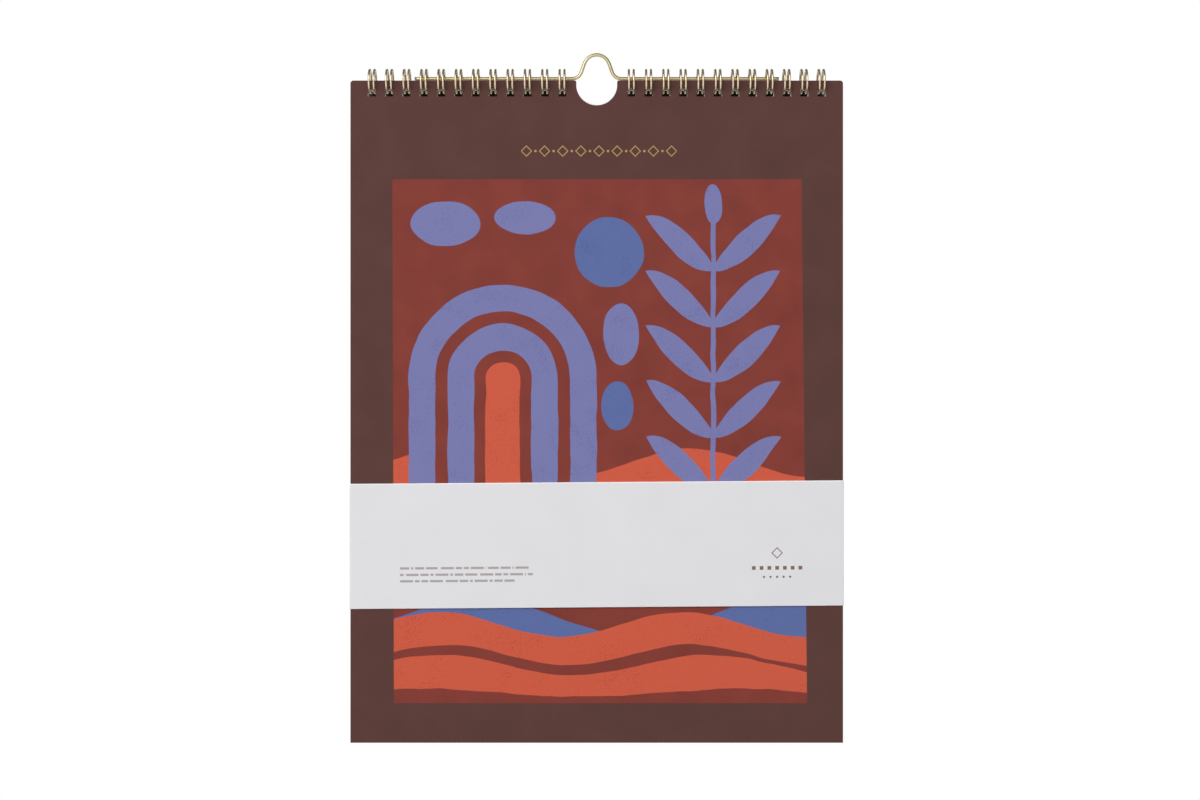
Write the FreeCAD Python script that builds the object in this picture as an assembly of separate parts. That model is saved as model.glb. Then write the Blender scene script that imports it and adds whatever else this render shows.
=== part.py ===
import FreeCAD, Part
import math
import os

Vector = FreeCAD.Vector

# Wall calendar: punched sheets on two twin-loop wire combs, with a wire hanger and a paper belly band.
# Millimetres, +Z up, the front faces -Y. The origin is where the nail bears, inside the top of the hoop.

# Sheets
SHEET_WIDTH = 241.0
SHEET_HEIGHT = 324.0
TOP_CORNER_RADIUS = 1.45
COVER_THICKNESS = 0.4
LEAF_COUNT = 12
LEAF_THICKNESS = 0.3
LEAF_STEP = 0.12
BOARD_THICKNESS = 1.2

# Hanger: arms, and a hoop of a crown, two splayed legs and two flares
HANGER_WIRE = 1.7
HANGER_REACH = 89.3
HANGER_CLEARANCE = 0.45
HOOP_HEIGHT = 11.7
CROWN_RADIUS = 6.4
LEG_SPLAY = 20.0
FLARE_RADIUS = 4.6

# Thumb cut that the hoop folds into
FOLD_SIDE_ROOM = 0.75
FOLD_TIP_ROOM = 0.85
CUT_CORNER_RADIUS = 0.7

# Twin-loop combs
LOOP_PITCH = 25.4 / 3
LOOP_DIAMETER = 12.2
COMB_WIRE = 1.0
TWIN_SPACING = 2.37
ROOT_CORNER_RADIUS = 1.0
CUT_END_LENGTH = 1.0
SEAM_GAP = 0.8
SEAM_ANGLE = 25.0
SIDE_MARGIN = 10.0
HANGER_PLAY = 3.0

# Punched holes
HOLE_INSET = 3.8
HOLE_PLAY = 0.315
LOOP_LIFT = 0.2

# Belly band
BAND_HEIGHT = 61.2
BAND_DROP = 196.5
BAND_TILT = 0.41
BAND_THICKNESS = 0.2
BAND_SIDE_CLEARANCE = 0.15
BAND_FACE_CLEARANCE = 0.05
BAND_LAP = 16.0

# Facets of the comb wire, which has flat sides to keep the model light
WIRE_SIDES = 6
ARC_RUNS = 10
TIP_RUNS = 4
BEND_RUNS = 2
SEWING_TOLERANCE = 0.001

# Depths of the stack, centred on the hanger
page_thickness = LEAF_COUNT * LEAF_THICKNESS
stack_thickness = COVER_THICKNESS + page_thickness + BOARD_THICKNESS
front_y = -stack_thickness / 2
page_front_y = front_y + COVER_THICKNESS
board_front_y = page_front_y + page_thickness
back_y = stack_thickness / 2

# Heights, from the nail's seat down
hanger_radius = HANGER_WIRE / 2
arm_z = hanger_radius - HOOP_HEIGHT
arm_rise = HANGER_CLEARANCE + hanger_radius
top_z = arm_z - arm_rise
bottom_z = top_z - SHEET_HEIGHT

# Hoop, by half-width and height over the arms
splay = math.radians(LEG_SPLAY)
crown_centre_height = HOOP_HEIGHT - CROWN_RADIUS
leg_top_x = CROWN_RADIUS * math.cos(splay)
leg_top_height = crown_centre_height + CROWN_RADIUS * math.sin(splay)
leg_foot_height = FLARE_RADIUS * (1 - math.sin(splay))
leg_foot_x = leg_top_x + (leg_top_height - leg_foot_height) * math.tan(splay)
flare_x = leg_foot_x + FLARE_RADIUS * math.cos(splay)

# Thumb cut: as wide as the folded hoop's flares where its corners end, and as deep as the folded crown
cut_corner_height = FLARE_RADIUS - arm_rise - CUT_CORNER_RADIUS
flare_inner_radius = FLARE_RADIUS - hanger_radius
cut_radius = flare_x - math.sqrt(flare_inner_radius ** 2 - cut_corner_height ** 2) + FOLD_SIDE_ROOM
cut_depth = HOOP_HEIGHT + hanger_radius - arm_rise + FOLD_TIP_ROOM
cut_centre_z = top_z - max(cut_depth - cut_radius, CUT_CORNER_RADIUS)

# Holes and loops
comb_radius = COMB_WIRE / 2
side_turn = 2 * math.pi / WIRE_SIDES
wire_corner_radius = comb_radius * math.sqrt(side_turn / math.sin(side_turn))
hole_side = TWIN_SPACING + COMB_WIRE + 2 * HOLE_PLAY
hole_centre_z = top_z - HOLE_INSET - hole_side / 2
loop_radius = LOOP_DIAMETER / 2 - comb_radius
loop_centre_z = hole_centre_z + LOOP_LIFT + loop_radius
first_loop = math.ceil((flare_x + HANGER_PLAY + TWIN_SPACING / 2 + comb_radius) / LOOP_PITCH)
last_loop = math.floor((SHEET_WIDTH / 2 - SIDE_MARGIN) / LOOP_PITCH)
loop_places = [number * LOOP_PITCH for number in range(first_loop, last_loop + 1)]


def plate(start_y, thickness):
    """A sheet's blank, square at the bottom and rounded at its top corners."""
    half = SHEET_WIDTH / 2
    radius = TOP_CORNER_RADIUS
    slack = radius * (1 - math.sqrt(0.5))
    points = [
        Vector(-half, start_y, top_z - radius),
        Vector(-half + slack, start_y, top_z - slack),
        Vector(-half + radius, start_y, top_z),
        Vector(half - radius, start_y, top_z),
        Vector(half - slack, start_y, top_z - slack),
        Vector(half, start_y, top_z - radius),
        Vector(half, start_y, bottom_z),
        Vector(-half, start_y, bottom_z),
    ]
    edges = [
        Part.Arc(points[0], points[1], points[2]).toShape(),
        Part.makeLine(points[2], points[3]),
        Part.Arc(points[3], points[4], points[5]).toShape(),
        Part.makeLine(points[5], points[6]),
        Part.makeLine(points[6], points[7]),
        Part.makeLine(points[7], points[0]),
    ]
    return Part.Face(Part.Wire(edges)).extrude(Vector(0, thickness, 0))


def thumb_cut_tool():
    """The thumb cut: a half circle with straight sides, which round over into the top edge."""
    depth = 2 * stack_thickness
    front = -stack_thickness
    corner = CUT_CORNER_RADIUS
    toward_back = Vector(0, 1, 0)
    bowl = Part.makeCylinder(cut_radius, depth, Vector(0, front, cut_centre_z), toward_back)
    side_height = top_z + corner - cut_centre_z
    side_corner = Vector(-cut_radius, front, cut_centre_z)
    tool = bowl.fuse(Part.makeBox(2 * cut_radius, depth, side_height, side_corner))
    for side in (-1, 1):
        block_corner = Vector(min(side * cut_radius, side * (cut_radius + corner)), front, top_z - corner)
        block = Part.makeBox(corner, depth, 2 * corner, block_corner)
        round_centre = Vector(side * (cut_radius + corner), front, top_z - corner)
        tool = tool.fuse(block.cut(Part.makeCylinder(corner, depth, round_centre, toward_back)))
    return tool


def hole_tools():
    """One square punch for each loop, on both sides of the hanger."""
    punches = []
    for side in (-1, 1):
        for place in loop_places:
            corner = Vector(side * place - hole_side / 2, -stack_thickness, hole_centre_z - hole_side / 2)
            punches.append(Part.makeBox(hole_side, 2 * stack_thickness, hole_side, corner))
    return punches


def punched(blank):
    """The blank with its row of holes and its thumb cut."""
    return blank.cut(Part.makeCompound(hole_tools() + [thumb_cut_tool()]))


def front_cover():
    return punched(plate(front_y, COVER_THICKNESS))


def leaf_groove(number):
    """What a leaf lacks beside its neighbours: they are flush at the punched edge and uneven elsewhere."""
    leaf_y = page_front_y + number * LEAF_THICKNESS
    height = SHEET_HEIGHT - TOP_CORNER_RADIUS
    outline = Part.makeBox(SHEET_WIDTH, LEAF_THICKNESS, height, Vector(-SHEET_WIDTH / 2, leaf_y, bottom_z))
    kept_corner = Vector(LEAF_STEP - SHEET_WIDTH / 2, leaf_y, bottom_z + LEAF_STEP)
    kept = Part.makeBox(SHEET_WIDTH - 2 * LEAF_STEP, LEAF_THICKNESS, height, kept_corner)
    return outline.cut(kept)


def page_block():
    """The leaves as one solid, every second one a little short, so that their edges show."""
    grooves = [leaf_groove(number) for number in range(1, LEAF_COUNT, 2)]
    return punched(plate(page_front_y, page_thickness).cut(Part.makeCompound(grooves)))


def back_board():
    return punched(plate(board_front_y, BOARD_THICKNESS))


def round_bar(start, end):
    """A straight stretch of the hanger's wire."""
    return Part.makeCylinder(hanger_radius, (end - start).Length, start, end - start)


def round_bend(centre, bend_radius, start, end):
    """A bent stretch of the hanger's wire, from start to end degrees round centre, counted from +X to +Z."""
    bend = Part.makeTorus(bend_radius, hanger_radius, Vector(0, 0, 0), Vector(0, 0, 1), 0, 360, end - start)
    upright = FreeCAD.Rotation(Vector(1, 0, 0), 90)
    bend.Placement = FreeCAD.Placement(centre, FreeCAD.Rotation(Vector(0, -1, 0), start) * upright)
    return bend


def hanger_wire():
    """One round wire: two arms, two flares, two splayed legs and the crown."""
    arm_end = Vector(HANGER_REACH, 0, arm_z)
    flare = Vector(flare_x, 0, arm_z)
    flare_centre = Vector(flare_x, 0, arm_z + FLARE_RADIUS)
    leg_foot = Vector(leg_foot_x, 0, arm_z + leg_foot_height)
    leg_top = Vector(leg_top_x, 0, arm_z + leg_top_height)
    half = [
        round_bar(flare, arm_end),
        round_bend(flare_centre, FLARE_RADIUS, 180 + LEG_SPLAY, 270),
        round_bar(leg_foot, leg_top),
    ]
    other_half = [piece.mirror(Vector(0, 0, 0), Vector(1, 0, 0)) for piece in half]
    crown_centre = Vector(0, 0, arm_z + crown_centre_height)
    crown = round_bend(crown_centre, CROWN_RADIUS, LEG_SPLAY, 180 - LEG_SPLAY)
    return crown.fuse(half + other_half)


def arc_points(centre_x, centre_s, radius, start, end, runs):
    """Points of a flat arc, as places along the comb and along the wire's wrap, from start to end degrees."""
    points = []
    for number in range(runs + 1):
        angle = math.radians(start + (end - start) * number / runs)
        points.append((centre_x + radius * math.cos(angle), centre_s + radius * math.sin(angle)))
    return points


def flat_comb(places):
    """The comb's wire before it is rolled up: fingers side by side, joined at their roots by short runs."""
    tip_radius = TWIN_SPACING / 2
    corner = ROOT_CORNER_RADIUS
    wrap = 2 * math.pi * loop_radius - SEAM_GAP - COMB_WIRE
    tip_s = wrap - tip_radius
    straight = [corner + (tip_s - corner) * number / ARC_RUNS for number in range(1, ARC_RUNS)]
    points = [(places[0] - tip_radius - corner - CUT_END_LENGTH, 0.0)]
    for place in places:
        left = place - tip_radius
        right = place + tip_radius
        points += arc_points(left - corner, corner, corner, -90, 0, BEND_RUNS)
        points += [(left, s) for s in straight]
        points += arc_points(place, tip_s, tip_radius, 180, 0, TIP_RUNS)
        points += [(right, s) for s in reversed(straight)]
        points += arc_points(right + corner, corner, corner, 180, 270, BEND_RUNS)
    points.append((places[-1] + tip_radius + corner + CUT_END_LENGTH, 0.0))
    return points


def rolled(flat_point):
    """The flat point wrapped round the loops' axis, and the outward direction there. The roots lie at the
    back, just above the seam, and the wire goes over the top, down the front and back through the holes."""
    place, s = flat_point
    root_angle = (SEAM_GAP + COMB_WIRE) / 2 / loop_radius - math.radians(SEAM_ANGLE)
    angle = root_angle + s / loop_radius
    outward = Vector(0, math.cos(angle), math.sin(angle))
    return Vector(place, 0, loop_centre_z) + outward * loop_radius, outward


def wire_ring(centre, outward, before, after):
    """The flat-sided wire's corners where two runs meet, on the plane that halves the turn."""
    along = (before + after).normalize()
    out = (outward - along * outward.dot(along)).normalize()
    across = along.cross(out)
    bend = after - before
    stretch = 0.0
    if bend.Length > 0:
        bend.normalize()
        stretch = 1 / before.dot(along) - 1
    ring = []
    for side in range(WIRE_SIDES):
        angle = side_turn * (side + 0.5)
        offset = (across * math.cos(angle) + out * math.sin(angle)) * wire_corner_radius
        ring.append(centre + offset + bend * (offset.dot(bend) * stretch))
    return ring


def wire_solid(flat_points):
    """A flat-sided wire of the round one's area along the rolled path."""
    centres, outwards = zip(*[rolled(point) for point in flat_points])
    runs = [(after - before).normalize() for before, after in zip(centres, centres[1:])]
    befores = runs[:1] + runs
    afters = runs + runs[-1:]
    corners = []
    for centre, outward, before, after in zip(centres, outwards, befores, afters):
        corners += wire_ring(centre, outward, before, after)
    facets = []
    last = len(corners) - WIRE_SIDES
    for ring in range(0, last, WIRE_SIDES):
        for side in range(WIRE_SIDES):
            near_a = ring + side
            near_b = ring + (side + 1) % WIRE_SIDES
            far_a = near_a + WIRE_SIDES
            far_b = near_b + WIRE_SIDES
            facets += [(near_a, near_b, far_b), (near_a, far_b, far_a)]
    for side in range(1, WIRE_SIDES - 1):
        facets += [(0, side + 1, side), (last, last + side, last + side + 1)]
    skin = Part.Shape()
    skin.makeShapeFromMesh((corners, facets), SEWING_TOLERANCE)
    return Part.makeSolid(Part.makeShell(skin.Faces)).removeSplitter()


def wire_comb(side):
    return wire_solid(flat_comb(sorted(side * place for place in loop_places)))


def band_section(offset, start_z, height):
    """A tube round the stack, its wall's surface lying offset outside the band's inner face."""
    half_width = SHEET_WIDTH / 2 + BAND_SIDE_CLEARANCE + offset
    half_depth = back_y + BAND_FACE_CLEARANCE + offset
    corner = Vector(-half_width, -half_depth, start_z)
    box = Part.makeBox(2 * half_width, 2 * half_depth, height, corner)
    folds = [edge for edge in box.Edges if edge.BoundBox.ZLength > height / 2]
    return box.makeFillet(BAND_SIDE_CLEARANCE + offset, folds)


def belly_band():
    """A paper sleeve with a glued lap behind. Its top and bottom edges run a little uphill to the right."""
    slope = math.tan(math.radians(BAND_TILT))
    spread = slope * SHEET_WIDTH
    band_top = top_z - BAND_DROP
    band_bottom = band_top - BAND_HEIGHT
    low = band_bottom - spread
    height = BAND_HEIGHT + 2 * spread
    sleeve = band_section(BAND_THICKNESS, low, height).cut(band_section(0, low, height))
    lap_y = back_y + BAND_FACE_CLEARANCE + BAND_THICKNESS
    lap = Part.makeBox(BAND_LAP, BAND_THICKNESS, height, Vector(-BAND_LAP / 2, lap_y, low))
    reach = SHEET_WIDTH
    depth = 2 * stack_thickness
    corners = [
        Vector(-reach, -depth, band_bottom - reach * slope),
        Vector(reach, -depth, band_bottom + reach * slope),
        Vector(reach, -depth, band_top + reach * slope),
        Vector(-reach, -depth, band_top - reach * slope),
    ]
    trim = Part.Face(Part.makePolygon(corners + corners[:1])).extrude(Vector(0, 2 * depth, 0))
    return sleeve.fuse(lap).common(trim).removeSplitter()


nodes = {
    "hanger_wire": hanger_wire(),
    "wire_comb_left": wire_comb(-1),
    "wire_comb_right": wire_comb(1),
    "front_cover": front_cover(),
    "page_block": page_block(),
    "back_board": back_board(),
    "belly_band": belly_band(),
}

os.makedirs("parts", exist_ok=True)
for name, shape in nodes.items():
    shape.exportStep(os.path.join("parts", name + ".step"))
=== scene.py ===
import bpy
import math
import numpy as np
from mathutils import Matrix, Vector


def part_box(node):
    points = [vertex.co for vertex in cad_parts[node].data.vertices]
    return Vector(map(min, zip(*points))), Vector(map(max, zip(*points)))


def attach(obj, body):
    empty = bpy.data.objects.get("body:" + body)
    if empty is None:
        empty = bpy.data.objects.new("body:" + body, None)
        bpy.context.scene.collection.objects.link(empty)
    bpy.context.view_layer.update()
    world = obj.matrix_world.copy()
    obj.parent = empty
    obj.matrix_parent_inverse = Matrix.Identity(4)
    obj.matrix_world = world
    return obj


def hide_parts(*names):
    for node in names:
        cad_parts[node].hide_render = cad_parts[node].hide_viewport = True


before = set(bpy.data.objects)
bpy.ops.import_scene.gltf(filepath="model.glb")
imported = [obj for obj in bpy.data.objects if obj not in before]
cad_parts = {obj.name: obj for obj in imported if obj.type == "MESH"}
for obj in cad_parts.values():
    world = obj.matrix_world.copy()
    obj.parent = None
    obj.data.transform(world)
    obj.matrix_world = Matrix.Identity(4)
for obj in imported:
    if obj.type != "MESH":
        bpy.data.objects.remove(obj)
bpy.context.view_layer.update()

# The view
# The calendar is photographed square-on from about 0.9 m, with the lens level with its upper half.

cover_low, cover_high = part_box("front_cover")
top_edge = cover_high.z
cover_face = cover_low.y
photo_width = 1200
photo_pixel = 1 / 2044
camera_distance = 0.9
aim_right = 0.0016
aim_down = 0.1563

camera_data = bpy.data.cameras.new("camera")
camera_data.sensor_width = 36
camera_data.lens = camera_data.sensor_width * camera_distance / (photo_width * photo_pixel)
camera = bpy.data.objects.new("camera", camera_data)
camera.location = (aim_right, cover_face - camera_distance, top_edge - aim_down)
camera.rotation_euler = (math.radians(90), 0, 0)
bpy.context.scene.collection.objects.link(camera)
bpy.context.scene.camera = camera
bpy.context.scene.view_settings.view_transform = "Standard"


# The room
# The calendar hangs in front of a white wall, over a pale floor, in an even room that is brighter above.
# The wall shows only to a camera in front of it, so the calendar's back stays lit and in view. It is white
# except where something covers it closely, as behind the punched holes, where painted shade makes it
# near-black.


def linear(red, green, blue):
    """The linear colour of a screen colour from 0 to 255: each channel through the sRGB curve."""
    screen = np.array([red, green, blue]) / 255
    channels = np.where(screen <= 0.04045, screen / 12.92, ((screen + 0.055) / 1.055) ** 2.4)
    return (*channels.tolist(), 1.0)


def add_node(tree, kind, inputs=None, **settings):
    """A new node in the tree, with its settings, and its inputs set to values or joined to sockets."""
    node = tree.nodes.new(kind)
    for name, value in settings.items():
        setattr(node, name, value)
    for key, value in (inputs or {}).items():
        if isinstance(value, bpy.types.NodeSocket):
            tree.links.new(value, node.inputs[key])
        else:
            node.inputs[key].default_value = value
    return node


def new_material(name):
    """An empty material and its node tree."""
    material = bpy.data.materials.new(name)
    material.use_nodes = True
    material.node_tree.nodes.clear()
    return material, material.node_tree


def flat_mesh(name, corners):
    """One four-sided face through four corners."""
    mesh = bpy.data.meshes.new(name)
    mesh.from_pydata(corners, [], [(0, 1, 2, 3)])
    thing = bpy.data.objects.new(name, mesh)
    bpy.context.scene.collection.objects.link(thing)
    return thing


def blend(tree, factor, first, second):
    """The first colour where the factor is 0, and the second where it is 1."""
    colours = {"Factor": factor, "A": first, "B": second}
    return add_node(tree, "ShaderNodeMix", colours, data_type="RGBA").outputs["Result"]


def choose(tree, factor, first, second):
    """The first shader where the factor is 0, and the second where it is 1."""
    return add_node(tree, "ShaderNodeMixShader", {0: factor, 1: first, 2: second}).outputs[0]


wall_gap = 0.009
wall_reach = 6.0
floor_drop = 0.42
wall_corners = ((-1, 0), (1, 0), (1, 1), (-1, 1))
floor_corners = ((-1, -1), (1, -1), (1, 1), (-1, 1))
wall_height = wall_reach + floor_drop
wall = flat_mesh("wall", [(x * wall_reach, wall_gap, z * wall_height - floor_drop) for x, z in wall_corners])
floor = flat_mesh("floor", [(x * wall_reach, y * wall_reach, -floor_drop) for x, y in floor_corners])

shade_reach = 0.04
shade_samples = 32
open_enough = 0.36
closed_enough = 0.28
shaded_wall = linear(46, 34, 30)
white = (1, 1, 1, 1)

wall_material, tree = new_material("wall_paint_and_painted_shade")
nearby = add_node(tree, "ShaderNodeAmbientOcclusion", {"Distance": shade_reach}, samples=shade_samples)
limits = {"Value": nearby.outputs["AO"], "From Min": open_enough, "From Max": closed_enough}
shade = add_node(tree, "ShaderNodeMapRange", limits).outputs[0]
# Where ambient occlusion finds the calendar close in front, the wall is painted near-black brown: painted
# shade, which shows through the punched holes.
painted_shade = add_node(tree, "ShaderNodeBsdfDiffuse", {"Color": shaded_wall}).outputs[0]
white_paint = add_node(tree, "ShaderNodeEmission", {"Color": white, "Strength": 1.0}).outputs[0]
clear = add_node(tree, "ShaderNodeBsdfTransparent").outputs[0]
rays = add_node(tree, "ShaderNodeLightPath")
behind = add_node(tree, "ShaderNodeNewGeometry").outputs["Backfacing"]
seen = add_node(tree, "ShaderNodeMath", {0: rays.outputs["Is Camera Ray"], 1: behind}, operation="SUBTRACT")
wall_surface = choose(tree, seen.outputs[0], clear, choose(tree, shade, white_paint, painted_shade))
add_node(tree, "ShaderNodeOutputMaterial", {0: wall_surface})
wall.data.materials.append(wall_material)

floor_white = linear(238, 238, 238)
floor_cloud = linear(230, 230, 230)
floor_shade = linear(70, 70, 70)

floor_material, tree = new_material("floor_paint")
place = add_node(tree, "ShaderNodeTexCoord").outputs["Object"]
cloud = add_node(tree, "ShaderNodeTexNoise", {"Vector": place, "Scale": 3.0, "Detail": 2.0}).outputs["Fac"]
pale_floor = add_node(tree, "ShaderNodeBsdfDiffuse", {"Color": blend(tree, cloud, floor_cloud, floor_white)})
# To every ray but the camera's and reflections, the floor is dark grey: painted shade, which keeps bounce
# light from under the calendar and out of its holes.
floor_dark_for_bounce = add_node(tree, "ShaderNodeBsdfDiffuse", {"Color": floor_shade})
rays = add_node(tree, "ShaderNodeLightPath")
either = {0: rays.outputs["Is Camera Ray"], 1: rays.outputs["Is Glossy Ray"]}
looked_at = add_node(tree, "ShaderNodeMath", either, operation="MAXIMUM").outputs[0]
floor_surface = choose(tree, looked_at, floor_dark_for_bounce.outputs[0], pale_floor.outputs[0])
add_node(tree, "ShaderNodeOutputMaterial", {0: floor_surface})
floor.data.materials.append(floor_material)

room_level = 0.72
room_slope = (0.0, -0.24, 0.50)
toward_viewer = (0, -1, 0)
window_bright = (1.15, 1.10, 1.04, 1.0)
window_dark = (0.22, 0.21, 0.17, 1.0)
window_start = 0.35
window_end = 0.88

world = bpy.data.worlds.new("room")
world.use_nodes = True
bpy.context.scene.world = world
tree = world.node_tree
tree.nodes.clear()
direction = add_node(tree, "ShaderNodeTexCoord").outputs["Generated"]
slope = add_node(tree, "ShaderNodeVectorMath", {0: direction, 1: room_slope}, operation="DOT_PRODUCT")
level = add_node(tree, "ShaderNodeMath", {0: slope.outputs["Value"], 1: room_level}, operation="ADD")
even_light = add_node(tree, "ShaderNodeBackground", {"Color": white, "Strength": level.outputs[0]})
facing = add_node(tree, "ShaderNodeVectorMath", {0: direction, 1: toward_viewer}, operation="DOT_PRODUCT")
limits = {"Value": facing.outputs["Value"], "From Min": window_start, "From Max": window_end}
in_window = add_node(tree, "ShaderNodeMapRange", limits, interpolation_type="SMOOTHSTEP").outputs[0]
window = blend(tree, in_window, window_dark, window_bright)
mirrored = add_node(tree, "ShaderNodeBackground", {"Color": window, "Strength": 1.0})
backdrop = add_node(tree, "ShaderNodeBackground", {"Color": white, "Strength": 1.0})
rays = add_node(tree, "ShaderNodeLightPath")
light = choose(tree, rays.outputs["Is Glossy Ray"], even_light.outputs[0], mirrored.outputs[0])
surround = choose(tree, rays.outputs["Is Camera Ray"], light, backdrop.outputs[0])
add_node(tree, "ShaderNodeOutputWorld", {0: surround})

softbox_size = 2.4
softbox_power = 65
softbox_place = Vector((-1.6, -2.4, 1.3))
softbox_aim = Vector((0, 0, -0.15))

lamp_data = bpy.data.lights.new("softbox", "AREA")
lamp_data.size = softbox_size
lamp_data.energy = softbox_power
lamp = bpy.data.objects.new("softbox", lamp_data)
lamp.location = softbox_place
lamp.rotation_mode = "QUATERNION"
lamp.rotation_quaternion = (softbox_aim - softbox_place).to_track_quat("-Z", "Y")
bpy.context.scene.collection.objects.link(lamp)


# Binding wires
# Two combs of gold-coated steel wire, each one wire bent into twin-loop fingers and closed round the sheets.
# The roots and the finger tips meet behind the board, and the fingers pass through the square holes.

millimetre = 0.001
loop_pitch = 25.4 / 3 * millimetre
loop_radius = 5.6 * millimetre
comb_radius = 0.5 * millimetre
twin_spacing = 2.37 * millimetre
root_corner = 1.0 * millimetre
cut_end = 1.0 * millimetre
seam_gap = 0.8 * millimetre
seam_angle = math.radians(25)
first_loop = 2
last_loop = 13
loop_centre = top_edge
comb_sides = 12
corner_points = 7
rise_points = 44
tip_points = 11
sway_spread = 0.05 * millimetre
sway_seed = 7


def wire_tube(name, centres, outward, radius, sides):
    """A round wire as a grid of rings: centre + radius (cos a across + sin a out), where out is the outward
    direction without its part along the wire, and across is square to both. Its ends are flat."""
    along = np.gradient(centres, axis=0)
    along /= np.linalg.norm(along, axis=1, keepdims=True)
    out = outward - along * np.sum(outward * along, axis=1, keepdims=True)
    out /= np.linalg.norm(out, axis=1, keepdims=True)
    across = np.cross(out, along)
    angles = np.arange(sides) * 2 * np.pi / sides
    rings = (
        centres[:, None, :]
        + radius * np.cos(angles)[None, :, None] * across[:, None, :]
        + radius * np.sin(angles)[None, :, None] * out[:, None, :]
    )
    count = len(centres)
    ring = np.arange(count - 1)[:, None] * sides
    side = np.arange(sides)[None, :]
    beside = (side + 1) % sides
    walls = np.stack([ring + side, ring + beside, ring + sides + beside, ring + sides + side], axis=-1)
    faces = walls.reshape(-1, 4).tolist()
    faces.append(list(range(sides))[::-1])
    faces.append(list(range((count - 1) * sides, count * sides)))
    mesh = bpy.data.meshes.new(name)
    mesh.from_pydata(rings.reshape(-1, 3), [], faces)
    smooth = np.ones(len(faces), bool)
    smooth[-2:] = False
    mesh.polygons.foreach_set("use_smooth", smooth)
    mesh.update()
    wire = bpy.data.objects.new(name, mesh)
    bpy.context.scene.collection.objects.link(wire)
    return wire


def arc(centre, radius, start, end, steps):
    """Points of a flat arc: centre + radius (cos, sin) of an even run of angles from start to end degrees."""
    angles = np.radians(np.linspace(start, end, steps))
    return np.array(centre) + radius * np.stack([np.cos(angles), np.sin(angles)], axis=1)


def comb_path(places):
    """The comb's wire laid flat, one finger after another, then rolled: a flat point (x, s) goes to angle
    s / radius round the loops' axis, from the seam at the back over the top and down the front."""
    half = twin_spacing / 2
    wrap = 2 * np.pi * loop_radius - seam_gap - 2 * comb_radius
    tip = wrap - half
    rise = np.linspace(root_corner, tip, rise_points)[1:-1]
    finger = np.concatenate(
        [
            arc((-half - root_corner, root_corner), root_corner, -90, 0, corner_points),
            np.stack([np.full_like(rise, -half), rise], axis=1),
            arc((0, tip), half, 180, 0, tip_points),
            np.stack([np.full_like(rise, half), rise[::-1]], axis=1),
            arc((half + root_corner, root_corner), root_corner, 180, 270, corner_points),
        ]
    )
    sway = np.random.default_rng(sway_seed).normal(0, sway_spread, (len(places), 2))
    lean = sway[:, :1] * np.sin(finger[None, :, 1] / wrap * np.pi)
    flat_x = np.array(places)[:, None] + finger[None, :, 0] + lean
    flat_s = np.broadcast_to(finger[None, :, 1], flat_x.shape)
    ends = half + root_corner + cut_end
    flat_x = np.concatenate([[places[0] - ends], flat_x.ravel(), [places[-1] + ends]])
    flat_s = np.concatenate([[0], flat_s.ravel(), [0]])
    root_angle = (seam_gap / 2 + comb_radius) / loop_radius - seam_angle
    angle = root_angle + flat_s / loop_radius
    outward = np.stack([np.zeros_like(angle), np.cos(angle), np.sin(angle)], axis=1)
    centres = loop_radius * outward
    centres[:, 0] = flat_x
    centres[:, 2] += loop_centre
    return centres, outward


comb_gold = linear(194, 179, 147)
comb_pale = linear(222, 207, 182)


def gold_wire_material(name, gold, pale):
    """Gold-coated steel: a warm pale metal, a little mottled, with the fine scratches of bending."""
    material, tree = new_material(name)
    place = add_node(tree, "ShaderNodeTexCoord").outputs["Object"]
    mottle = add_node(tree, "ShaderNodeTexNoise", {"Vector": place, "Scale": 900.0, "Detail": 3.0})
    mottle = mottle.outputs["Fac"]
    rough = add_node(tree, "ShaderNodeMapRange", {"Value": mottle, "To Min": 0.20, "To Max": 0.34})
    scratch = add_node(tree, "ShaderNodeTexNoise", {"Vector": place, "Scale": 6000.0, "Detail": 2.0})
    relief = {"Height": scratch.outputs["Fac"], "Strength": 0.08, "Distance": 0.0001}
    finish = {
        "Base Color": blend(tree, mottle, gold, pale),
        "Metallic": 1.0,
        "Roughness": rough.outputs[0],
        "Normal": add_node(tree, "ShaderNodeBump", relief).outputs[0],
    }
    metal = add_node(tree, "ShaderNodeBsdfPrincipled", finish)
    add_node(tree, "ShaderNodeOutputMaterial", {0: metal.outputs[0]})
    return material


comb_material = gold_wire_material("comb_gold_wire", comb_gold, comb_pale)
for side, node in ((-1, "wire_comb_left"), (1, "wire_comb_right")):
    places = sorted(side * loop_pitch * number for number in range(first_loop, last_loop + 1))
    centres, outward = comb_path(places)
    comb = wire_tube(node + "_wire", centres, outward, comb_radius, comb_sides)
    comb.data.materials.append(comb_material)
    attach(comb, "calendar")
    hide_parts(node)


# Hanger
# One thicker gold-coated wire: two arms threaded through the loops, and a hoop bent up between the combs.
# It hangs on the nail by the inside of its crown.

hanger_radius = 0.85 * millimetre
hanger_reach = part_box("hanger_wire")[1].x
hoop_height = 11.7 * millimetre
crown_radius = 6.4 * millimetre
flare_radius = 4.6 * millimetre
leg_splay = 20
arm_points = 40
flare_points = 16
leg_points = 8
crown_points = 18
hanger_sides = 24
# The hanger's gold is darker than the combs': painted shade, for the shade its arms lie in between the loops.
hanger_gold_shaded = linear(168, 156, 118)
hanger_pale_shaded = linear(196, 184, 150)


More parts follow.
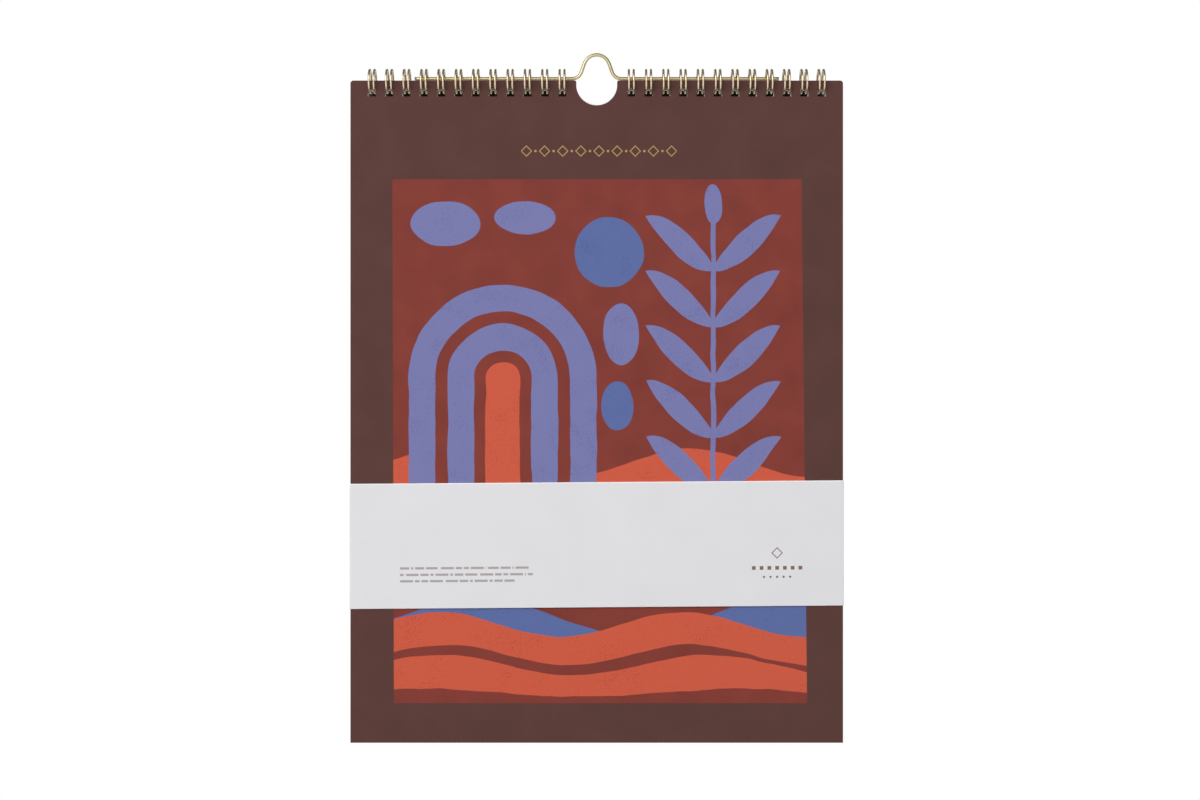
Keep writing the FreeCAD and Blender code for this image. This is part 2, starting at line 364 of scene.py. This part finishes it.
def hanger_path():
    """The right half from the arm's end: a straight arm, the flare's arc, the leg and the crown's arc. The
    left half is its mirror image. Each arc is centre + radius (cos, sin)."""
    splay = math.radians(leg_splay)
    crown_centre = (0, hoop_height - crown_radius)
    leg_top = np.array([crown_radius * math.cos(splay), crown_centre[1] + crown_radius * math.sin(splay)])
    foot_height = flare_radius * (1 - math.sin(splay))
    foot = np.array([leg_top[0] + (leg_top[1] - foot_height) * math.tan(splay), foot_height])
    flare_x = foot[0] + flare_radius * math.cos(splay)
    arm = np.linspace([hanger_reach, 0], [flare_x, 0], arm_points)[:-1]
    flare = arc((flare_x, flare_radius), flare_radius, 270, 180 + leg_splay, flare_points)
    leg = np.linspace(foot, leg_top, leg_points)[1:-1]
    crown = arc(crown_centre, crown_radius, leg_splay, 90, crown_points)
    half = np.concatenate([arm, flare, leg, crown])
    whole = np.concatenate([half, half[-2::-1] * [-1, 1]])
    arm_height = -hoop_height + hanger_radius
    centres = np.stack([whole[:, 0], np.zeros(len(whole)), whole[:, 1] + arm_height], axis=1)
    outward = np.broadcast_to([0.0, -1.0, 0.0], centres.shape)
    return centres, outward


centres, outward = hanger_path()
hanger = wire_tube("hanger_bent_wire", centres, outward, hanger_radius, hanger_sides)
hanger.data.materials.append(gold_wire_material("hanger_shaded_gold_wire", hanger_gold_shaded, hanger_pale_shaded))
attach(hanger, "hanger")
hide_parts("hanger_wire")


# Front cover
# Uncoated brown card, printed all over with matt inks: a rectangle of cut-paper shapes, and a gold ornament
# above it. The print lies in the card's own surface, so it is worked out in millimetres in its material.


class Field:
    """A number that changes over a surface, as a node's output, so that a shape is written as a formula."""

    def __init__(self, tree, socket):
        self.tree = tree
        self.socket = socket

    def step(self, operation, other=0.0):
        """One step of arithmetic with another field or a number."""
        second = other.socket if isinstance(other, Field) else other
        node = add_node(self.tree, "ShaderNodeMath", {0: self.socket, 1: second}, operation=operation)
        return Field(self.tree, node.outputs[0])

    def __add__(self, other):
        return self.step("ADD", other)

    def __sub__(self, other):
        return self.step("SUBTRACT", other)

    def __mul__(self, other):
        return self.step("MULTIPLY", other)

    def __truediv__(self, other):
        return self.step("DIVIDE", other)

    def __abs__(self):
        return self.step("ABSOLUTE")

    def larger(self, other):
        return self.step("MAXIMUM", other)

    def smaller(self, other):
        return self.step("MINIMUM", other)

    def within(self, outer, inner):
        """0 where the field is at outer or beyond, 1 at inner or beyond, and even between them."""
        limits = {"Value": self.socket, "From Min": outer, "From Max": inner}
        return Field(self.tree, add_node(self.tree, "ShaderNodeMapRange", limits).outputs[0])

    def inked(self, soft=0.12):
        """1 where a distance outside a shape is below 0, and 0 above it, with a narrow soft edge."""
        return self.within(soft, -soft)


def lay(under, over, cover):
    """The colour over, laid on the colour under where the field cover is 1."""
    return blend(cover.tree, cover.socket, under, over)


def apart(x, z):
    """The length of (x, z)."""
    return (x * x + z * z).step("SQRT")


def card_place(tree):
    """The object's own place, and x, y and z in millimetres, with z counted from the sheets' top edge."""
    place = add_node(tree, "ShaderNodeTexCoord").outputs["Object"]
    axes = add_node(tree, "ShaderNodeSeparateXYZ", {0: place})
    x, y, z = (Field(tree, axes.outputs[axis]) for axis in "XYZ")
    return place, x / millimetre, y / millimetre, (z - top_edge) / millimetre


def noise(tree, place, scale, detail=2.0, output="Fac"):
    """Even noise about 0.5, with so many bumps to a metre."""
    node = add_node(tree, "ShaderNodeTexNoise", {"Vector": place, "Scale": scale, "Detail": detail})
    return Field(tree, node.outputs[output])


def new_group(name, inputs, outputs):
    """An empty node group with named inputs and outputs, the place first, and its two end nodes."""
    group = bpy.data.node_groups.new(name, "ShaderNodeTree")
    group.interface.new_socket(name="Place", in_out="INPUT", socket_type="NodeSocketVector")
    for socket in inputs:
        group.interface.new_socket(name=socket, in_out="INPUT", socket_type="NodeSocketFloat")
    for socket in outputs:
        group.interface.new_socket(name=socket, in_out="OUTPUT", socket_type="NodeSocketFloat")
    return group, add_node(group, "NodeGroupInput"), add_node(group, "NodeGroupOutput")


def use_group(group, tree, inputs):
    """A shared effect placed in a material with its own values, and its outputs as fields."""
    node = add_node(tree, "ShaderNodeGroup", inputs, node_tree=group)
    return [Field(tree, output) for output in node.outputs]


paper_grain, ends_in, ends_out = new_group("paper_grain", ["Scale"], ["Height", "Tone"])
scale = Field(paper_grain, ends_in.outputs["Scale"])
fibres = noise(paper_grain, ends_in.outputs["Place"], scale.socket, 4.0)
clouds = noise(paper_grain, ends_in.outputs["Place"], (scale * 0.02).socket, 3.0)
tone = fibres * 0.5 + clouds * 0.5
paper_grain.links.new(fibres.socket, ends_out.inputs["Height"])
paper_grain.links.new(tone.within(0.35, 0.65).socket, ends_out.inputs["Tone"])

ink_specks, ends_in, ends_out = new_group("ink_specks", ["Scale", "Amount"], ["Specks"])
scale = Field(ink_specks, ends_in.outputs["Scale"])
amount = Field(ink_specks, ends_in.outputs["Amount"])
fine = noise(ink_specks, ends_in.outputs["Place"], scale.socket, 1.0)
patches = noise(ink_specks, ends_in.outputs["Place"], (scale * 0.06).socket, 2.0)
crowding = fine + (patches - 0.5) * 0.5 + amount
ink_specks.links.new(crowding.within(0.60, 0.72).socket, ends_out.inputs["Specks"])


def paper_finish(tree, colour, grain, strength, roughness, gloss):
    """A sheet's surface: its colour, with fibres in low relief."""
    relief = {"Height": grain.socket, "Strength": strength, "Distance": 0.0001}
    bump = add_node(tree, "ShaderNodeBump", relief)
    finish = {
        "Base Color": colour,
        "Roughness": roughness,
        "Specular IOR Level": gloss,
        "Normal": bump.outputs[0],
    }
    surface = add_node(tree, "ShaderNodeBsdfPrincipled", finish)
    add_node(tree, "ShaderNodeOutputMaterial", {0: surface.outputs[0]})


card_brown = linear(84, 54, 50)
card_brown_pale = linear(91, 60, 55)
rust = linear(131, 59, 50)
rust_deep = linear(121, 54, 46)
periwinkle = linear(119, 121, 171)
periwinkle_deep = linear(88, 88, 146)
blue = linear(91, 107, 160)
blue_deep = linear(66, 82, 142)
coral = linear(202, 89, 65)
coral_deep = linear(172, 66, 50)
gold_ink = linear(176, 142, 88)
cut_wander = 1.7

art_top = -48.3
art_height = 256.3
art_left = -100.0
art_right = 100.2
art_left_lean = 0.8
art_right_lean = 2.7

arch_foot = (-46.0, -146.0)
arch_radii = (46.0, 33.0, 27.0, 14.0, 8.5)
stem_x = 57.0
stem_foot = -214.0
stem_half_width = 1.2
leaf_pairs = 5
leaf_spacing = 27.0
leaf_rise = 0.8
leaf_radius = 23.0
leaf_offset = 15.5
leaf_middle = 16.0
bud_rise = 5.0
bud_radii = (4.5, 9.5)

# Ovals, as centre and radii, and rolling lines, as height, swell, length and shift
clouds_at = (((-74.0, -70.0), (17.0, 11.0)), ((-35.0, -67.0), (15.0, 8.0)))
disc_at = ((6.0, -84.0), (17.0, 17.0))
pale_stone_at = ((12.0, -124.0), (9.0, 15.0))
blue_stone_at = ((10.0, -159.0), (8.0, 12.0))
far_ridge = (-187.0, 7.0, 19.0, 16.0)
near_ground = (-214.0, 10.0, 30.0, -30.0)
blue_ridge = (-262.0, 9.0, 24.0, -96.0)
upper_field = (-266.0, 6.0, 19.0, 12.0)
furrow = (-281.0, 5.0, 19.0, 16.0)
lower_field = (-286.0, 5.0, 21.0, 22.0)
foot_ground = (-299.5, 2.0, 24.0, 30.0)


def arch(x, z, foot, radius):
    """How far outside a doorway: a half circle over straight sides that run down without end."""
    return apart(x - foot[0], (z - foot[1]).larger(0.0)) - radius


def pebble(x, z, centre, radii):
    """How far outside an oval: the length of the place over its radii, less 1, times the smaller radius."""
    return (apart((x - centre[0]) / radii[0], (z - centre[1]) / radii[1]) - 1.0) * min(radii)


def hill(x, z, height, swell, length, shift):
    """How far over a rolling line, which is height + swell times the sine of (x - shift) / length."""
    return z - ((x - shift) / length).step("SINE") * swell - height


def sprig(x, z):
    """How far outside a stem with paired leaves. The place is folded about the stem, slid down as it goes
    outwards, and repeated up the stem. A leaf is what two circles share."""
    beside = abs(x - stem_x)
    up_stem = z - stem_foot - beside * leaf_rise
    in_pair = up_stem.step("FLOORED_MODULO", leaf_spacing) - leaf_spacing / 2
    out = beside - leaf_middle
    leaf = apart(out, in_pair - leaf_offset).larger(apart(out, in_pair + leaf_offset)) - leaf_radius
    leaf = leaf.larger(up_stem - leaf_pairs * leaf_spacing)
    tip_height = stem_foot + leaf_pairs * leaf_spacing + leaf_spacing / 2
    stem = (beside - stem_half_width).larger(z - tip_height)
    bud = pebble(x, z, (stem_x, tip_height + bud_rise), bud_radii)
    return leaf.smaller(stem).smaller(bud)


def cover_art(tree, place, x, z):
    """The printed rectangle: rust ground, and shapes as if cut from speckled paper with scissors."""
    drift = noise(tree, place, 70.0, 1.0, "Color")
    wander = add_node(tree, "ShaderNodeSeparateColor", {0: drift.socket})
    x = x + (Field(tree, wander.outputs[0]) - 0.5) * cut_wander
    z = z + (Field(tree, wander.outputs[1]) - 0.5) * cut_wander

    ground = lay(rust, rust_deep, noise(tree, place, 60.0, 5.0).within(0.35, 0.7))
    (specks,) = use_group(ink_specks, tree, {"Place": place, "Scale": 1500.0, "Amount": 0.0})
    (blots,) = use_group(ink_specks, tree, {"Place": place, "Scale": 1200.0, "Amount": -0.02})
    periwinkle_paper = lay(periwinkle, periwinkle_deep, specks * 0.55)
    blue_paper = lay(blue, blue_deep, specks * 0.5)
    coral_paper = lay(coral, coral_deep, blots * 0.6)

    shapes = [(hill(x, z, *far_ridge), coral_paper)]
    arch_papers = (periwinkle_paper, ground, periwinkle_paper, ground, coral_paper)
    shapes += [(arch(x, z, arch_foot, radius), paper) for radius, paper in zip(arch_radii, arch_papers)]
    shapes += [(pebble(x, z, *cloud_at), periwinkle_paper) for cloud_at in clouds_at]
    shapes += [
        (pebble(x, z, *disc_at), blue_paper),
        (pebble(x, z, *pale_stone_at), periwinkle_paper),
        (pebble(x, z, *blue_stone_at), blue_paper),
        (sprig(x, z), periwinkle_paper),
        (hill(x, z, *near_ground), ground),
        (hill(x, z, *blue_ridge), blue_paper),
        (hill(x, z, *upper_field), coral_paper),
        (hill(x, z, *furrow), ground),
        (hill(x, z, *lower_field), coral_paper),
        (hill(x, z, *foot_ground), ground),
    ]
    art = ground
    for distance, paper in shapes:
        art = lay(art, paper, distance.inked())
    return art


ornament_height = -34.5
ornament_middle = 1.1
ornament_half_width = 35.5
diamond_pitch = 8.875
diamond_radius = 2.5
diamond_stroke = 0.32
dot_radius = 0.6


def diamond_row(x, z):
    """How far outside a row of outlined diamonds, where x and z sum to the radius, with dots between them."""
    height = abs(z - ornament_height)
    beside = x - ornament_middle
    along = (beside + diamond_pitch / 2).step("FLOORED_MODULO", diamond_pitch)
    from_diamond = abs(along - diamond_pitch / 2)
    outline = abs(from_diamond + height - diamond_radius) - diamond_stroke
    dot = apart(from_diamond - diamond_pitch / 2, height) - dot_radius
    return outline.smaller(dot).larger(abs(beside) - ornament_half_width - diamond_radius)


def printed_card_material():
    """Brown card with its two prints, and the gold ink a little glossier than the rest."""
    material, tree = new_material("printed_card")
    place, x, y, z = card_place(tree)
    height, tone = use_group(paper_grain, tree, {"Place": place, "Scale": 2600.0})
    down = (z - art_top) / -art_height
    left = x - down * art_left_lean - art_left
    right = x - down * art_right_lean - art_right
    beyond = (left * -1.0).larger(right).larger(z - art_top).larger(z * -1.0 + (art_top - art_height))
    colour = lay(card_brown, card_brown_pale, tone)
    colour = lay(colour, cover_art(tree, place, x, z), beyond.inked())
    foil = diamond_row(x, z).inked(0.06)
    colour = lay(colour, gold_ink, foil)
    roughness = (foil * -0.4 + 0.85).socket
    paper_finish(tree, colour, height, 0.25, roughness, 0.2)
    return material


def dress(node, material):
    """The material on every slot of a CAD node."""
    slots = node.data.materials
    for number in range(len(slots)):
        slots[number] = material


dress(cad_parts["front_cover"], printed_card_material())


# Pages
# Twelve leaves of white uncoated paper, knocked flush and punched together with the cover.
# Only their edges show, round the block and inside the holes.

leaf_thickness = 0.3
leaf_gap = 0.14
page_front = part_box("page_block")[0].y / millimetre
page_white = linear(238, 236, 231)
page_warm = linear(226, 222, 214)
page_gap_shade = linear(150, 144, 136)


def page_material():
    """White paper, with a fine dark line of painted shade wherever two leaves meet at an edge."""
    material, tree = new_material("page_paper")
    place, x, y, z = card_place(tree)
    height, tone = use_group(paper_grain, tree, {"Place": place, "Scale": 3000.0})
    in_leaf = abs(((y - page_front) / leaf_thickness).step("FRACT") - 0.5)
    # A fine dark line where two leaves meet at the block's edge: painted shade of the gap between them.
    between = in_leaf.within(0.5 - leaf_gap, 0.5) * 0.7
    colour = lay(lay(page_white, page_warm, tone), page_gap_shade, between)
    paper_finish(tree, colour, height, 0.2, 0.9, 0.2)
    return material


dress(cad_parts["page_block"], page_material())


# Backing board
# Stiff greyboard pressed from waste paper, punched together with the sheets.
# It is plain, with light and dark flecks of pulp.

board_grey = linear(158, 150, 140)
board_pale = linear(180, 172, 161)
board_fleck = linear(110, 101, 93)


def greyboard_material():
    """Two tones of pulp, with dark flecks."""
    material, tree = new_material("greyboard")
    place = card_place(tree)[0]
    height, tone = use_group(paper_grain, tree, {"Place": place, "Scale": 1400.0})
    (flecks,) = use_group(ink_specks, tree, {"Place": place, "Scale": 900.0, "Amount": -0.04})
    colour = lay(lay(board_grey, board_pale, tone), board_fleck, flecks * 0.5)
    paper_finish(tree, colour, height, 0.5, 0.92, 0.2)
    return material


dress(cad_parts["back_board"], greyboard_material())


# Belly band
# A strip of smooth white paper, folded round the closed calendar, with its ends lapped and glued behind.
# It slopes a little and bows off the cover between its folds. Its print is three rows of rules and a small
# ornament of squares.

band_low, band_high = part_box("belly_band")
band_thickness = 0.2 * millimetre
band_half_width = band_high.x - band_thickness / 2
band_front = 2.75 * millimetre
band_back = 2.75 * millimetre
band_glue = 0.03 * millimetre
band_fold = 0.3 * millimetre
band_bow = 0.3 * millimetre
band_lap = 8.0 * millimetre
band_tilt = math.tan(math.radians(0.41))
band_height = 61.2 * millimetre
band_middle = (band_low.z + band_high.z) / 2
band_rows = 9
band_edge_row = 0.99
back_points = 40
front_points = 160
fold_points = 7


def band_section():
    """The strip's middle line seen from above, from its inner end behind, round the left, the front and the
    right, to its outer end, which lies on the inner one: straight runs joined by folds of one radius."""
    wide = band_half_width - band_fold
    outer_back = band_back + band_thickness + band_glue
    inner_end = np.linspace([band_lap, band_back], [-wide, band_back], back_points)
    front = np.linspace([-wide, -band_front], [wide, -band_front], front_points)
    outer_end = np.linspace([wide, outer_back], [-band_lap, outer_back], back_points)
    return np.concatenate(
        [
            inner_end,
            arc((-wide, band_back - band_fold), band_fold, 90, 180, fold_points)[1:],
            arc((-wide, band_fold - band_front), band_fold, 180, 270, fold_points)[:-1],
            front,
            arc((wide, band_fold - band_front), band_fold, 270, 360, fold_points)[1:],
            arc((wide, outer_back - band_fold), band_fold, 0, 90, fold_points)[:-1],
            outer_end,
        ]
    )


def band_mesh():
    """The section's points, offset by half the paper's thickness each way and carried up the band. The front
    bows out by bow (1 - u^4), with u across. A last narrow row at each long edge keeps that edge crisp."""
    section = band_section()
    along = np.gradient(section, axis=0)
    along /= np.linalg.norm(along, axis=1, keepdims=True)
    outward = np.stack([along[:, 1], -along[:, 0]], axis=1)
    up = np.concatenate([[-1.0], np.linspace(-band_edge_row, band_edge_row, band_rows - 2), [1.0]])
    across = section[:, 0] / band_half_width
    on_front = section[:, 1] < band_fold / 2 - band_front
    swell = (on_front * (1 - across**4) * band_bow)[:, None] * np.ones(band_rows)
    skins = []
    for offset in (band_thickness / 2, -band_thickness / 2):
        line = section + offset * outward
        x = np.broadcast_to(line[:, :1], swell.shape)
        y = line[:, 1:] - swell
        z = band_middle + band_tilt * x + up * band_height / 2
        skins.append(np.stack([x, y, z], axis=-1).reshape(-1, 3))
    index = np.arange(len(section) * band_rows).reshape(len(section), band_rows)
    corners = [index[:-1, :-1], index[1:, :-1], index[1:, 1:], index[:-1, 1:]]
    outer = np.stack(corners, axis=-1).reshape(-1, 4)
    inner = outer[:, ::-1] + index.size
    edge = np.concatenate([index[:, 0], index[-1, 1:], index[-2::-1, -1], index[0, -2::-1]])
    rim = np.stack([edge[:-1], edge[:-1] + index.size, edge[1:] + index.size, edge[1:]], axis=-1)
    faces = np.concatenate([outer, inner, rim])
    mesh = bpy.data.meshes.new("belly_band_paper")
    mesh.from_pydata(np.concatenate(skins), [], faces.tolist())
    smooth = np.arange(len(faces)) < 2 * len(outer)
    mesh.polygons.foreach_set("use_smooth", smooth)
    mesh.update()
    return mesh


band_white = linear(223, 223, 226)
band_cloud = linear(219, 219, 222)
band_edge_highlight = linear(246, 240, 238)
rule_ink = linear(168, 158, 158)
mark_ink = linear(128, 92, 92)
band_edge_highlight_width = 0.5

rule_rows = (-238.0, -241.2, -244.3)
rule_ends = (-32.6, -31.2, -40.2)
rule_start = -96.2
rule_half_height = 0.55
rule_gap = 0.45
rule_words = (7.3, 11.9)
rule_shift = 0.37

mark_middle = 88.2
mark_diamond_height = -231.7
mark_squares_height = -239.0
mark_square_pitch = 3.8
mark_square_half = 0.9
mark_squares_reach = 12.6
mark_dots_height = -243.4
mark_dot_pitch = 3.2
mark_dot_radius = 0.55
mark_dots_reach = 7.5


def rules(x, z):
    """How far outside three rows of short rules. Gaps repeat at two lengths, shifted from row to row."""
    nearest = None
    for row, (height, end) in enumerate(zip(rule_rows, rule_ends)):
        bar = (abs(z - height) - rule_half_height).larger(x * -1.0 + rule_start).larger(x - end)
        for word in rule_words:
            from_gap = abs((x + row * rule_shift * word).step("FLOORED_MODULO", word) - word / 2)
            bar = bar.larger(from_gap * -1.0 + rule_gap)
        nearest = bar if nearest is None else nearest.smaller(bar)
    return nearest


def band_mark(x, z):
    """How far outside a diamond over a row of seven squares and a row of five dots."""
    beside = x - mark_middle
    diamond = abs(abs(beside) + abs(z - mark_diamond_height) - diamond_radius) - diamond_stroke
    along = (beside + mark_square_pitch / 2).step("FLOORED_MODULO", mark_square_pitch)
    in_square = abs(along - mark_square_pitch / 2)
    squares = in_square.larger(abs(z - mark_squares_height)) - mark_square_half
    squares = squares.larger(abs(beside) - mark_squares_reach)
    along = (beside + mark_dot_pitch / 2).step("FLOORED_MODULO", mark_dot_pitch)
    dots = apart(along - mark_dot_pitch / 2, z - mark_dots_height) - mark_dot_radius
    dots = dots.larger(abs(beside) - mark_dots_reach)
    return diamond.smaller(squares).smaller(dots)


def band_material():
    """White paper with a faint grain, a painted highlight along its long edges, and its print on the front
    alone.
    """
    material, tree = new_material("band_paper")
    place, x, y, z = card_place(tree)
    height, tone = use_group(paper_grain, tree, {"Place": place, "Scale": 2200.0})
    colour = lay(band_white, band_cloud, tone)
    z = z - x * band_tilt
    from_middle = abs(z - (band_middle - top_edge) / millimetre)
    half_height = band_height / 2 / millimetre
    # A pale strip along each long edge: a painted highlight, for the light that the cut edge catches.
    colour = lay(colour, band_edge_highlight, from_middle.within(half_height - band_edge_highlight_width, half_height))
    behind = y + band_front / 2 / millimetre
    colour = lay(colour, rule_ink, rules(x, z).larger(behind).inked(0.1))
    colour = lay(colour, mark_ink, band_mark(x, z).larger(behind).inked(0.1))
    paper_finish(tree, colour, height, 0.12, 0.6, 0.3)
    return material


band = bpy.data.objects.new("belly_band_paper", band_mesh())
bpy.context.scene.collection.objects.link(band)
band.data.materials.append(band_material())
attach(band, "band")
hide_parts("belly_band")
